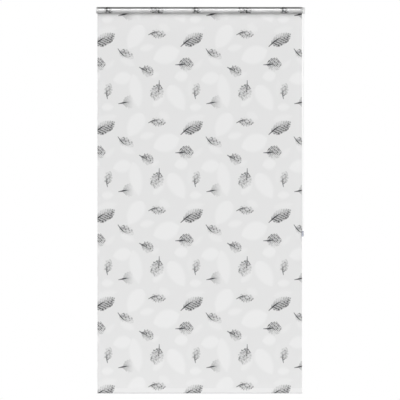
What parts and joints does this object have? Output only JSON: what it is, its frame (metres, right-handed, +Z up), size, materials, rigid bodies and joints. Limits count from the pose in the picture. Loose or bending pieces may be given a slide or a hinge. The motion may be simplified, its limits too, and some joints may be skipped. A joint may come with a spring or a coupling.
{
  "type": "shower roller blind on its roller tube",
  "caption": "Roller blind for a shower, let down: leaf-printed coated cloth wound on a tube with plugged ends, a weighted hem, and a bead chain with a clear holder.",
  "frame": {"origin": "on the roller's axis, at the middle of the left plug's flat outer face", "axes": "+X along the roller to its chain end, -Y out of the blind's front, +Z up"},
  "size_m": [1.297, 0.0449, 2.3995],
  "materials": {
    "printed_cloth": "coated, satin, with grey leaf print",
    "tube_aluminium": "drawn, plain",
    "white_plastic": "moulded, satin white",
    "white_bar": "aluminium rod, powder coated white",
    "chain_plastic": "moulded, translucent white",
    "clear_plastic": "moulded, clear, faintly blue"
  },
  "bodies": {
    "root": {"cloth": "printed_cloth", "roller_tube": "tube_aluminium", "left_plug": "white_plastic", "drive_plug": "white_plastic", "chain_housing": "white_plastic", "bottom_bar": "white_bar", "chain_front": "chain_plastic", "chain_back": "chain_plastic", "chain_holder": "clear_plastic"}
  },
  "joints": []
}
